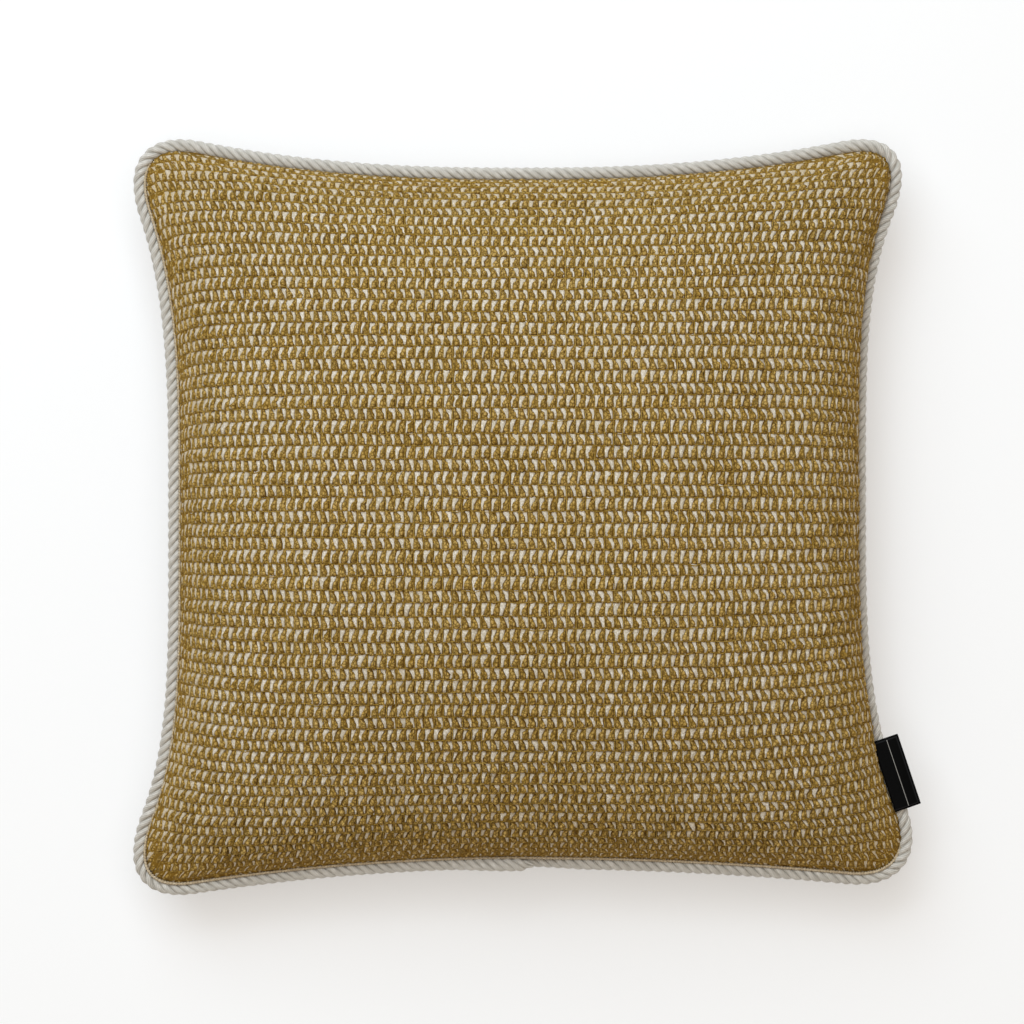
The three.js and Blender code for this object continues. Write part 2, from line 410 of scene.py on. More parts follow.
def simulate_filling(piece, seam):
    """Points of a piece after pressure has swelled it as cloth, with its seam held."""
    scene = bpy.context.scene
    held = piece.vertex_groups.new(name="seam")
    held.add(seam.tolist(), 1.0, "REPLACE")
    cloth = piece.modifiers.new("filling", "CLOTH")
    cloth.settings.vertex_group_mass = held.name
    cloth.settings.use_pressure = True
    cloth.settings.uniform_pressure_force = FILLING_PRESSURE
    cloth.settings.effector_weights.gravity = 0.0
    cloth.settings.quality = CLOTH_QUALITY
    cloth.point_cache.frame_start = 1
    cloth.point_cache.frame_end = CLOTH_FRAMES
    for step in range(1, CLOTH_FRAMES + 1):
        scene.frame_set(step)
    swelled = piece.evaluated_get(bpy.context.evaluated_depsgraph_get())
    points = np.empty(len(swelled.data.vertices) * 3, np.float32)
    swelled.data.vertices.foreach_get("co", points)
    piece.modifiers.remove(cloth)
    scene.frame_set(1)
    return points.reshape(-1, 3).astype(float) / MM


def evened(swell):
    """A grid of vectors, each point averaged with its four neighbours at equal shares, a few times."""
    for _ in range(SWELL_ROUNDS):
        wide = np.pad(swell, ((1, 1), (1, 1), (0, 0)), mode="edge")
        crossed = wide[:-2, 1:-1] + wide[2:, 1:-1] + wide[1:-1, :-2] + wide[1:-1, 2:]
        swell = (crossed + 4 * swell) / 8
    return swell


def padded_cover(material):
    """Face and back grids joined along the seam, swelled by the filling and laid on the floor.

    Also gives the swelling of each grid, by which the stitches follow the simulated cloth.
    """
    across, along = np.meshgrid(crowded_lines(COVER_LINES), crowded_lines(COVER_LINES))
    pull = corner_pull(across, along)
    s, t = across * pull, along * pull
    front, back = cover_start(s, t, True), cover_start(s, t, False)
    count = COVER_LINES ** 2
    rim = rim_numbers()
    following = np.roll(rim, -1)
    wall = np.stack([rim + count, following + count, following, rim], axis=-1)
    face_quads = grid_faces(COVER_LINES, COVER_LINES)
    back_quads = grid_faces(COVER_LINES, COVER_LINES, count)[:, ::-1]
    points = np.concatenate([front.reshape(-1, 3), back.reshape(-1, 3)])
    piece = make_piece("cushion_cover", points, [face_quads, back_quads, wall], material)
    swell = np.zeros_like(points)
    swell = simulate_filling(piece, np.concatenate([rim, rim + count])) - points
    length = np.maximum(np.linalg.norm(swell, axis=1, keepdims=True), TINY)
    swell = swell * np.minimum(1, SWELL_CAP / length)
    swell = [evened(part.reshape(COVER_LINES, COVER_LINES, 3)) for part in np.split(swell, 2)]
    points = points + np.concatenate([part.reshape(-1, 3) for part in swell])
    points[:, 2] = np.maximum(points[:, 2], STITCH_DEPTH)
    piece.data.vertices.foreach_set("co", (points * MM).astype(np.float32).ravel())
    piece.data.update()
    return piece, {True: swell[0], False: swell[1]}


# Crochet stitches

def evenly_spaced(points, lines):
    """Coordinates at even steps along each row of points.

    The length of the points' steps is added up from the row's middle, and the coordinate is read back
    at even shares of each half.
    """
    run = np.linalg.norm(np.diff(points, axis=1), axis=-1).cumsum(axis=1)
    run = np.concatenate([np.zeros((len(run), 1)), run], axis=1)
    run = run - run[:, [len(lines) // 2]]
    share = np.where(run < 0, -run / run[:, :1], run / run[:, -1:])
    even = np.linspace(-1, 1, len(lines))
    return np.stack([np.interp(even, one, lines) for one in share])


def spacing_tables(front):
    """Tables that give the cloth's coordinates at even steps over the curved surface.

    The surface is the plan with the crown over it, laid on the floor for the back. One table is for
    across, the other for along.
    """
    lines = crowded_lines(TABLE_LINES)
    s, t = np.meshgrid(lines, lines)
    x, y = plan(s, t)
    crown = FRONT_CROWN if front else BACK_CROWN
    height = crown * sharp_crown(s, t) ** CROWN_EDGE
    if not front:
        height = -laid_on_floor(SEAM_HEIGHT - height)
    points = np.stack([x, y, height], axis=-1)
    return evenly_spaced(points, lines), evenly_spaced(points.transpose(1, 0, 2), lines)


def row_edge(row):
    """Height of a place counted in rows, as a share of the cloth from -1 to 1.

    Odd rows are taller, and a sine over the whole height draws the rows closer towards the seams.
    """
    pair, inside = np.divmod(row, 2)
    short = 2 * (1 - TALL_ROW_SHARE)
    tall = 2 * TALL_ROW_SHARE
    within = np.where(inside < 1, inside * short, short + (inside - 1) * tall)
    even = np.clip(2 * (2 * pair + within) / ROWS - 1, -1, 1)
    return even + ROW_CLOSING * np.sin(np.pi * even) / np.pi


def cloth_coordinates(column, row, front, tables):
    """Coordinates on the cloth of places counted in columns and rows, by rounds of look-up.

    Close to the left and right seams the rows bend towards the level one, least at the corners. The
    bend falls off as an exponential of the distance from the seam.
    """
    u, v = 2 * column / COLUMNS - 1, row_edge(row)
    near_side = np.exp(-np.maximum(1 - np.abs(u), 0) / ROW_BEND_WIDTH)
    v = v - ROW_BEND * (v - ROW_BEND_LEVEL) * (1 - v ** ROW_BEND_FADE) * near_side
    s, t = u, v
    for _ in range(TABLE_ROUNDS):
        s = look_up(tables[0], line_place(t), u)
        t = look_up(tables[1], line_place(s), v)
    return (s if front else -s), t


def backing_point(s, t, front, swell):
    """Point of the swelled backing cloth: its starting shape plus the swelling of the grid there."""
    pull = corner_pull(s, t)
    moved = look_up(swell[front], line_place(t / pull), line_place(s / pull))
    points = cover_start(s, t, front) + moved
    points[..., 2] = np.maximum(points[..., 2], STITCH_DEPTH)
    return points


def backing_normal(s, t, front, swell):
    """Outward direction of the backing: the cross product of small steps across and along."""
    inner = np.minimum(1, NORMAL_REACH / np.maximum(seam_share(s, t), TINY))
    s, t = s * inner, t * inner
    right, left = (backing_point(s + step, t, front, swell) for step in (NORMAL_STEP, -NORMAL_STEP))
    above, below = (backing_point(s, t + step, front, swell) for step in (NORMAL_STEP, -NORMAL_STEP))
    normal = np.cross(right - left, above - below) * (1 if front else -1)
    return normal / np.linalg.norm(normal, axis=-1, keepdims=True)


def on_cover(column, row, rise, cloth):
    """Points a rise above the backing at places counted in columns and rows, kept inside the seam.

    The columns sway by a cosine that turns once in every two rows. The seam pulls the yarn flat, so
    the rise falls to less than half close to it. Cloth is the side, its tables and its swelling.
    """
    front, tables, swell = cloth
    column = column + ZIGZAG * np.cos(np.pi * (row - 0.5))
    s, t = cloth_coordinates(column, row, front, tables)
    share = seam_share(s, t)
    s, t = s / np.maximum(share, 1.0), t / np.maximum(share, 1.0)
    rise = rise * (1 - SEAM_FLATTENING * (1 - smooth_step(1 - share, 0, SEAM_FLAT_WIDTH)))
    rise = rise[..., None] - STITCH_SINK
    points = backing_point(s, t, front, swell) + rise * backing_normal(s, t, front, swell)
    points[..., 2] = np.maximum(points[..., 2], 0)
    return points


def tube_faces(count, rings, sides):
    """Quads and end triangles of closed tubes: rings of sides, then the two tips of each tube."""
    tube = rings * sides + 2
    ring, side = np.meshgrid(np.arange(rings - 1), np.arange(sides), indexing="ij")
    after = (side + 1) % sides
    here, there = ring * sides, (ring + 1) * sides
    quads = np.stack([here + side, here + after, there + after, there + side], axis=-1).reshape(-1, 4)
    side = np.arange(sides)
    after = (side + 1) % sides
    last = (rings - 1) * sides
    first_tip, last_tip = np.full(sides, tube - 2), np.full(sides, tube - 1)
    ends = np.concatenate([
        np.stack([first_tip, after, side], axis=-1),
        np.stack([last_tip, last + side, last + after], axis=-1),
    ])
    start = tube * np.arange(count)[:, None, None]
    return [(start + quads).reshape(-1, 4), (start + ends).reshape(-1, 3)]


def tube_map(count, rings, sides):
    """For each face corner of the tubes: its tube, its place round it and its place along it, 0 to 1."""
    ring, side = np.meshgrid(np.arange(rings - 1), np.arange(sides), indexing="ij")
    round_it = np.stack([side, side + 1, side + 1, side], axis=-1).reshape(-1, 4) / sides
    along = np.stack([ring + 1, ring + 1, ring + 2, ring + 2], axis=-1).reshape(-1, 4) / (rings + 1)
    side = np.arange(sides)
    end_round = np.concatenate([
        np.stack([side + 0.5, side + 1, side], axis=-1),
        np.stack([side + 0.5, side, side + 1], axis=-1),
    ]) / sides
    near, far = 1 / (rings + 1), rings / (rings + 1)
    end_along = np.concatenate([np.tile([0, near, near], (sides, 1)), np.tile([1, far, far], (sides, 1))])
    corners = [np.stack([round_it, along], axis=-1), np.stack([end_round, end_along], axis=-1)]
    tube = np.arange(count)
    spread = [np.broadcast_to(part, (count, *part.shape)).reshape(-1, 2) for part in corners]
    owner = [np.repeat(tube, part.shape[0] * part.shape[1]) for part in corners]
    return np.concatenate(owner), np.concatenate(spread)


def make_tubes(name, rings, tips, material, tiles, winding, tone, height, shown=1.0):
    """Closed tubes from rings (tube, ring, side, 3) and tips (tube, 2, 3).

    The bake map gives each tube its own tile of a grid. The yarn map winds the fibres round the tube:
    place round it times the fibres, plus place along it times the turns. Height is 0 where a side of
    a ring lies deep between its neighbours and 1 where it stands out, and the tips lie half way; the
    yarn's colour goes to painted shade where it is low. Shown is the share of its height that each tube
    keeps, so a smaller share paints more shade on it.
    """
    count, steps, sides = rings.shape[:3]
    points = np.concatenate([rings.reshape(count, -1, 3), tips], axis=1).reshape(-1, 3)
    owner, place = tube_map(count, steps, sides)
    fibres, turns = winding
    wound = place[:, 1] * turns
    yarn = np.stack([place[:, 0] * fibres + wound, wound + owner * WINDING_SHIFT], axis=-1)
    tile = np.stack([owner % tiles[0], owner // tiles[0]], axis=-1)
    inset = TILE_INSET + (1 - 2 * TILE_INSET) * place
    maps = {"yarn": yarn, "OFBake": (tile + inset) / np.array(tiles)}
    heights = np.concatenate([np.tile(height, steps), [0.5, 0.5]])
    numbers = {
        "tone": np.repeat(tone, steps * sides + 2),
        "height": np.outer(shown * np.ones(count), heights).ravel(),
    }
    return make_piece(name, points, tube_faces(count, steps, sides), material, maps, numbers)


# Rings of a tuft of white yarn and of a bulge of gold yarn, from the top of a stitch to its bottom:
# place down the stitch, place across it, half width across it, and rise above the backing
WHITE_TUFT = (
    (0.04, -0.12, 0.41, 1.8),
    (0.28, -0.17, 0.36, 2.4),
    (0.55, -0.27, 0.24, 2.9),
    (0.89, -0.32, 0.17, 2.8),
)
GOLD_BULGE = (
    (0.03, 0.36, 0.15, 1.9),
    (0.25, 0.33, 0.19, 2.8),
    (0.43, 0.18, 0.32, 3.4),
    (0.72, 0.11, 0.40, 4.1),
    (0.98, 0.12, 0.37, 3.2),
)
# Their upper and lower tips: place down the stitch, place across it, and rise
WHITE_TIPS = ((-0.06, -0.11, 0.8), (1.01, -0.33, 1.0))
GOLD_TIPS = ((-0.07, 0.37, 1.0), (1.09, 0.12, 1.3))
# Corners of the sections, as turns from the level: the open side lies in the backing
WHITE_SECTION = np.radians([-8, 55, 125, 188])
GOLD_SECTION = np.radians([-8, 42, 90, 138, 188])
THREAD_SECTION = np.radians([-5, 90, 185])


def plainer(rings):
    """Three of the rings, for the back: the first one and the last two."""
    return (rings[0], *rings[-2:])


def section_height(section):
    """Height of each corner of a section, from 0 at its roots to 1 at its top: the sine of its turn."""
    return np.clip(np.sin(section), 0, 1)


def uneven_field(scale):
    """Random values for every stitch that change slowly over the cloth: a coarse grid, interpolated."""
    coarse = rng.normal(0, 1, (ROWS // scale + 2, COLUMNS // scale + 2))
    row, column = np.meshgrid(np.linspace(-1, 1, ROWS), np.linspace(-1, 1, COLUMNS), indexing="ij")
    return look_up(coarse, row, column)


def stitch_cells(front, tables):
    """Row and column numbers of the stitches whose middle lies inside the rounded seam or close to it.

    Also gives, for every stitch, the share of its width that the white yarn keeps, as it is pulled
    tighter towards the right and lower seams and bunches up at the others, and the share of its
    height that its colour keeps, which falls close to the seam and so paints shade there.
    """
    row, column = np.meshgrid(np.arange(ROWS), np.arange(COLUMNS), indexing="ij")
    s, t = cloth_coordinates(column + 0.5, row + 0.5, front, tables)
    share = seam_share(s, t)
    kept = share < STITCH_REACH
    right = np.where(front, s, -s)
    tight = SEAM_TIGHTNESS * smooth_step(np.maximum(right, -t), RIM_START, 1)
    full = RIM_FULLNESS * smooth_step(np.maximum(-right, t), RIM_START, 1)
    # Painted shade: close to the seam this share falls, so the yarn's colour goes towards its hollow one
    shown = 1 - RIM_PAINTED_SHADE * smooth_step(share, RIM_START, 1)
    return row[kept], column[kept], (1 - tight) * (1 + full), shown


def stitch_yarn(name, shape, cells, cloth, material, width, tone, shown):
    """One short tube of yarn in every given stitch, leaning left in even rows and right in odd rows.

    Each ring lies at a place down and across its stitch, and a corner of its section at the half width
    times the cosine across and the rise times the sine out. Width is each stitch's own thickness.
    Shape is the rings, the tips and the section.
    """
    rings, tips, section = shape
    row, column = cells
    count = len(row)
    lean = np.where(row % 2 == 1, 1.0, -1.0)
    shift = rng.normal(0, STITCH_WANDER, (count, 2))
    tall = rng.normal(1, STITCH_TALLNESS, count)[:, None, None]
    lumpy = rng.normal(0, 1, (3, count, len(rings), 1))
    thick = width[row, column][:, None, None]
    middle = column + 0.5 + shift[:, 0]
    top = row + 1 + shift[:, 1]

    down, across, half, rise = (part[None, :, None] for part in np.array(rings).T)
    ring_column = middle[:, None, None] + lean[:, None, None] * (across + STITCH_WANDER * lumpy[0])
    ring_column = ring_column + thick * half * (1 + RING_WIDTH_SPREAD * lumpy[1]) * np.cos(section)
    ring_row = np.broadcast_to(top[:, None, None] - down, ring_column.shape)
    rises = tall * rise * (1 + RING_RISE_SPREAD * lumpy[2]) * np.sin(section)
    ring_points = on_cover(ring_column, ring_row, rises, cloth)

    down, across, rise = (part[None, :] for part in np.array(tips).T)
    tip_column = middle[:, None] + lean[:, None] * across
    tip_points = on_cover(tip_column, top[:, None] - down, rise, cloth)

    side = math.ceil(math.sqrt(count))
    return make_tubes(
        name, ring_points, tip_points, material, (side, side), STITCH_WINDING,
        tone[row, column], section_height(section), shown[row, column])


def binding_threads(name, cloth, material):
    """A thin thread along every line between two columns, over all rows, with a small random sway.

    It lies low at the top of each row and stands out at the bottom, as the stitches do.
    """
    lines = np.arange(1, COLUMNS)
    places = np.array(FACE_THREAD_PLACES if cloth[0] else BACK_THREAD_PLACES)
    row = (np.arange(ROWS)[:, None] + places).reshape(1, -1, 1)
    steps = row.shape[1]
    sway = rng.normal(0, THREAD_SWAY, (len(lines), steps, 1))
    half = THREAD_HALF_WIDTH * rng.normal(1, THREAD_WIDTH_SPREAD, (len(lines), steps, 1))
    column = lines[:, None, None] + sway + half * np.cos(THREAD_SECTION)
    rises = np.where(row % 1 < 0.5, THREAD_RISE_BELOW, THREAD_RISE_ABOVE) * np.sin(THREAD_SECTION)
    ring_points = on_cover(column, np.broadcast_to(row, column.shape), rises, cloth)[:, ::-1]
    tip_column = np.repeat(lines[:, None], 2, axis=1).astype(float)
    tip_row = np.broadcast_to(np.array([ROWS, 0.0]), tip_column.shape)
    tip_points = on_cover(tip_column, tip_row, 0.0, cloth)
    tone = rng.normal(THREAD_TONE, THREAD_TONE_SPREAD, len(lines))
    return make_tubes(
        name, ring_points, tip_points, material, (len(lines), 1), THREAD_WINDING,
        tone, section_height(THREAD_SECTION))


def row_strands(name, cloth, material):
    """A thin strand along every line between two rows, low under the stitches, swaying a little."""
    lines = np.arange(1, ROWS)
    steps = COLUMNS if cloth[0] else COLUMNS // 2
    column = np.linspace(ROW_STRAND_START, COLUMNS - ROW_STRAND_START, steps)[None, :, None]
    sway = rng.normal(0, ROW_STRAND_SWAY, (len(lines), steps, 1))
    row = lines[:, None, None] + sway + ROW_STRAND_HALF_WIDTH * np.cos(THREAD_SECTION)
    rises = ROW_STRAND_RISE * np.sin(THREAD_SECTION)
    ring_points = on_cover(np.broadcast_to(column, row.shape), row, rises, cloth)
    tip_row = np.repeat(lines[:, None], 2, axis=1).astype(float)
    tip_column = np.broadcast_to(np.array([0.0, COLUMNS]), tip_row.shape)
    tip_points = on_cover(tip_column, tip_row, 0.0, cloth)
    tone = rng.normal(MIDDLE_TONE, STRAND_TONE_SPREAD, len(lines))
    return make_tubes(
        name, ring_points, tip_points, material, (1, len(lines)), THREAD_WINDING,
        tone, section_height(THREAD_SECTION))


def crochet(front, swell, materials):
    """Threads, strands, white tufts and gold bulges of the face or the back, by short and tall rows.

    A stitch's fullness is a random share for itself plus one for each patch that it lies in. Where the
    white yarn is fuller, the gold yarn is narrower.
    """
    side = "face" if front else "back"
    tables = spacing_tables(front)
    cloth = front, tables, swell
    row, column, drawn, shown = stitch_cells(front, tables)
    loose = rng.normal(0, FULLNESS_SPREAD, (ROWS, COLUMNS))
    patches = sum(spread * uneven_field(scale) for scale, spread in FULLNESS_PATCHES)
    fuller = np.clip(patches + loose, *FULLNESS_RANGE)
    white_tone = MIDDLE_TONE + WHITE_TONE_SPREAD * rng.normal(0, 1, (ROWS, COLUMNS))
    gold_tone = MIDDLE_TONE + GOLD_TONE_SPREAD * rng.normal(0, 1, (ROWS, COLUMNS))
    gold_tone = gold_tone + GOLD_TONE_PATCH_SPREAD * uneven_field(GOLD_TONE_PATCH)
    # Painted shade: the gold yarn's height share falls close to the seam, which darkens its colour there
    gold_rim_shade_factor = 1 - GOLD_RIM_SHADE_SHARE * (1 - shown)
    white_shape = WHITE_TUFT, WHITE_TIPS, WHITE_SECTION
    gold_shape = GOLD_BULGE, GOLD_TIPS, GOLD_SECTION
    if not front:
        white_shape = plainer(WHITE_TUFT), WHITE_TIPS, WHITE_SECTION
        gold_shape = plainer(GOLD_BULGE), GOLD_TIPS, WHITE_SECTION
    pieces = [
        binding_threads(f"{side}_binding_threads", cloth, materials["thread"]),
        row_strands(f"{side}_row_strands", cloth, materials["thread"]),
    ]
    for kind, odd, width in (("short_rows", 0, SHORT_ROW_WIDTH), ("tall_rows", 1, TALL_ROW_WIDTH)):
        cells = row[row % 2 == odd], column[row % 2 == odd]
        pieces.append(stitch_yarn(
            f"{side}_white_yarn_{kind}", white_shape, cells, cloth, materials["white"],
            (width + fuller) * drawn, white_tone, shown))
        pieces.append(stitch_yarn(
            f"{side}_gold_yarn_{kind}", gold_shape, cells, cloth, materials["gold"],
            1 - GOLD_GIVE * fuller, gold_tone, gold_rim_shade_factor))
    return pieces


# Edge cord and its tape

def seam_line():
    """Points of the seam, anticlockwise from the middle of the lower side, and level outward directions."""
    angle = -np.pi / 2 + np.linspace(0, 2 * np.pi, SEAM_SAMPLES, endpoint=False)
    across, along = np.cos(angle), np.sin(angle)
    far = np.maximum(np.abs(across), np.abs(along))
    pull = corner_pull(across, along) / far
    s, t = across * pull, along * pull
    points = np.stack([*plan(s, t), seam_level(s, t)], axis=-1)
    tangent = np.roll(points, -1, axis=0) - np.roll(points, 1, axis=0)
    outward = np.stack([tangent[:, 1], -tangent[:, 0], np.zeros(len(points))], axis=-1)
    return points, outward / np.linalg.norm(outward, axis=1, keepdims=True)


def run_along(points, distance):
    """Points at distances along a closed line, whose steps are added up."""
    closed = np.concatenate([points, points[:1]])
    run = np.concatenate([[0], np.linalg.norm(np.diff(closed, axis=0), axis=1).cumsum()])
    place = np.mod(distance, run[-1])
    return np.stack([np.interp(place, run, closed[:, axis]) for axis in range(3)], axis=-1)


def line_length(points):
    """Length of a closed line of points: the sum of its steps."""
    return np.linalg.norm(np.roll(points, -1, axis=0) - points, axis=1).sum()


def level_frame(path):
    """Directions level outwards from a path, and up from it, square to it and to each other."""
    tangent = np.gradient(path, axis=0)
    tangent /= np.linalg.norm(tangent, axis=1, keepdims=True)
    outward = np.stack([tangent[:, 1], -tangent[:, 0], np.zeros(len(path))], axis=-1)
    outward /= np.linalg.norm(outward, axis=1, keepdims=True)
    return outward, np.cross(outward, tangent)


def cord_strands(material):
    """Three strands wound round the cord's line, which starts under its own end and goes once round.

    A strand's middle circles the line once in a lay, and its section is a circle square to it.
    Both ends thin to a tip. Near the crossing the start dips and the end rises and moves out.
    """
    seam, outward = seam_line()
    beside = seam + (CORD_RADIUS + CORD_GAP - CORD_TUCK) * outward
    length = line_length(beside)
    steps = int((length + 2 * CORD_OVERLAP) / CORD_LAY * STRAND_STEPS_PER_LAY)
    distance = np.linspace(-CORD_OVERLAP, length + CORD_OVERLAP, steps)
    path = run_along(beside, distance)
    out = level_frame(path)[0]
    at_end = 1 - smooth_step(np.abs(length - distance), CORD_OVERLAP, CORD_CROSSING_RUN)
    at_start = 1 - smooth_step(np.abs(distance), CORD_OVERLAP, CORD_CROSSING_RUN)
    path[:, 2] += (CORD_RADIUS + CORD_GAP) * (at_end - at_start)
    path += CORD_CROSSING_SHIFT * (at_end - at_start)[:, None] * out
    out, up = level_frame(path)
    to_tip = np.minimum(distance + CORD_OVERLAP, length + CORD_OVERLAP - distance)
    size = CORD_TIP_SHARE + (1 - CORD_TIP_SHARE) * smooth_step(to_tip, 0, CORD_END_TAPER)

    turn = 2 * np.pi * (np.arange(CORD_STRANDS)[:, None] / CORD_STRANDS - distance[None, :] / CORD_LAY)
    radial = out * np.cos(turn)[..., None] + up * np.sin(turn)[..., None]
    middle = path + STRAND_ORBIT * size[:, None] * radial
    heading = np.gradient(middle, axis=1)
    heading /= np.linalg.norm(heading, axis=-1, keepdims=True)
    beside_it = np.cross(heading, radial)
    angle = -np.linspace(0, 2 * np.pi, STRAND_SIDES, endpoint=False)
    ring = radial[:, :, None] * np.cos(angle)[:, None] + beside_it[:, :, None] * np.sin(angle)[:, None]
    rings = middle[:, :, None] + STRAND_RADIUS * size[None, :, None, None] * ring
    outwards = heading[:, [0, -1]] * np.array([[[-1], [1]]])
    tips = middle[:, [0, -1]] + STRAND_RADIUS * CORD_TIP_SHARE * outwards
    # Painted shade: the strand's inner side, low in height, takes the cord's hollow colour in the grooves
    height = np.clip(0.5 + STRAND_GROOVE * np.cos(angle), 0, 1)
    return make_tubes(
        "edge_cord_strands", rings, tips, material, (CORD_STRANDS, 1), CORD_WINDING,
        np.array(CORD_TONES), height)


def cord_tape(material):
    """Narrow sewing tape beside the seam: a thin tube whose radius swells at every machine stitch.

    It is drawn up into sight along the lower side, half hidden along the left one, and lies under the
    cover along the others. The radius follows a cosine along the tape.
    """
    seam, outward = seam_line()
    shown = TAPE_SHOWN - TAPE_SHOWN_LEFT * outward[:, 0] - TAPE_SHOWN_BELOW * outward[:, 1]
    shown = np.clip(shown, 0, 1)[:, None]
    lifted = seam + (TAPE_OUT[0] + TAPE_OUT[1] * shown) * outward + shown * np.array([0, 0, TAPE_LIFT])
    length = line_length(lifted)
    distance = np.linspace(0, length, int(length / TAPE_STITCH) * TAPE_STITCH_STEPS)
    path = run_along(lifted, distance)
    out, up = level_frame(path)
    swing = np.cos(2 * np.pi * distance / TAPE_STITCH)
    radius = TAPE_RADIUS * (TAPE_SWELL[0] + TAPE_SWELL[1] * swing)
    angle = -np.linspace(0, 2 * np.pi, TAPE_SIDES, endpoint=False)
    ring = out[:, None] * np.cos(angle)[:, None] + up[:, None] * np.sin(angle)[:, None]
    rings = path[:, None] + radius[:, None, None] * ring
    tips = path[[0, -1]]
    return make_tubes(
        "cord_sewing_tape", rings[None], tips[None], material, (1, 1), TAPE_WINDING,
        np.array([MIDDLE_TONE]), np.ones(TAPE_SIDES))


# Folded label

def folded_label():
    """Ribbon folded once: out from the seam, round a half circle, and back above itself.

    It is a grid of the fold's path by the label's length, with half a sine as a slight bow in the
    upper layer and a sine along the length that grows outwards. Also gives the length of the path.
    """
    angle = math.atan2(LABEL_PLACE, 1)
    seam = seam_line()[0]
    place = (angle + np.pi / 2) / (2 * np.pi) * SEAM_SAMPLES
    near = np.arange(int(place) - 1, int(place) + 3)
    middle = seam[near].mean(axis=0)
    tangent = seam[near[-1]] - seam[near[0]]
    tangent /= np.linalg.norm(tangent)
    out = np.array([tangent[1], -tangent[0], 0.0])
    out /= np.linalg.norm(out)
    lift = np.cross(out, tangent)

    radius = (LABEL_LAYER_GAP + LABEL_LAYER) / 2
    fold_start = LABEL_REACH - radius
    straight = np.linspace(LABEL_START, fold_start, LABEL_LAYER_LINES)
    bend = np.linspace(-np.pi / 2, np.pi / 2, LABEL_FOLD_LINES + 2)[1:-1]
    flat_layer = np.zeros(LABEL_LAYER_LINES)
    reach_out = np.concatenate([straight, fold_start + radius * np.cos(bend), straight[::-1]])
    height = np.concatenate([flat_layer, radius + radius * np.sin(bend), flat_layer + 2 * radius])
    run = np.concatenate([[0], np.hypot(np.diff(reach_out), np.diff(height)).cumsum()])
    upper_bow = LABEL_BOW * np.sin(np.pi * np.linspace(0, 1, LABEL_LAYER_LINES))
    bow = np.concatenate([flat_layer, np.zeros(LABEL_FOLD_LINES), upper_bow])
    length = np.linspace(-LABEL_LENGTH / 2, LABEL_LENGTH / 2, LABEL_COLUMNS)
    wave = LABEL_WAVE * np.sin(length / LABEL_WAVE_RUN)
    wave = wave * smooth_step(reach_out, LABEL_WAVE_START, LABEL_REACH)[:, None]
    level = CORD_RADIUS + CORD_GAP + LABEL_LAYER / 2
    sheet_height = level + height[:, None] + bow[:, None] + wave
    points = (
        middle
        + reach_out[:, None, None] * out
        + sheet_height[..., None] * lift
        + length[None, :, None] * tangent
    )
    faces = grid_faces(len(run), len(length))[:, ::-1]
    flat = np.broadcast_arrays(length[None, :] + LABEL_LENGTH / 2, run[:, None])
    flat = np.stack(flat, axis=-1).reshape(-1, 2)
    ribbon_map = {"ribbon": flat[faces.ravel()]}
    piece = make_piece("side_label_ribbon", points.reshape(-1, 3), [faces], None, ribbon_map)
    wall = piece.modifiers.new("ribbon thickness", "SOLIDIFY")
    wall.thickness = LABEL_LAYER * MM
    wall.offset = 0.0
    return piece, float(run[-1])


# Materials

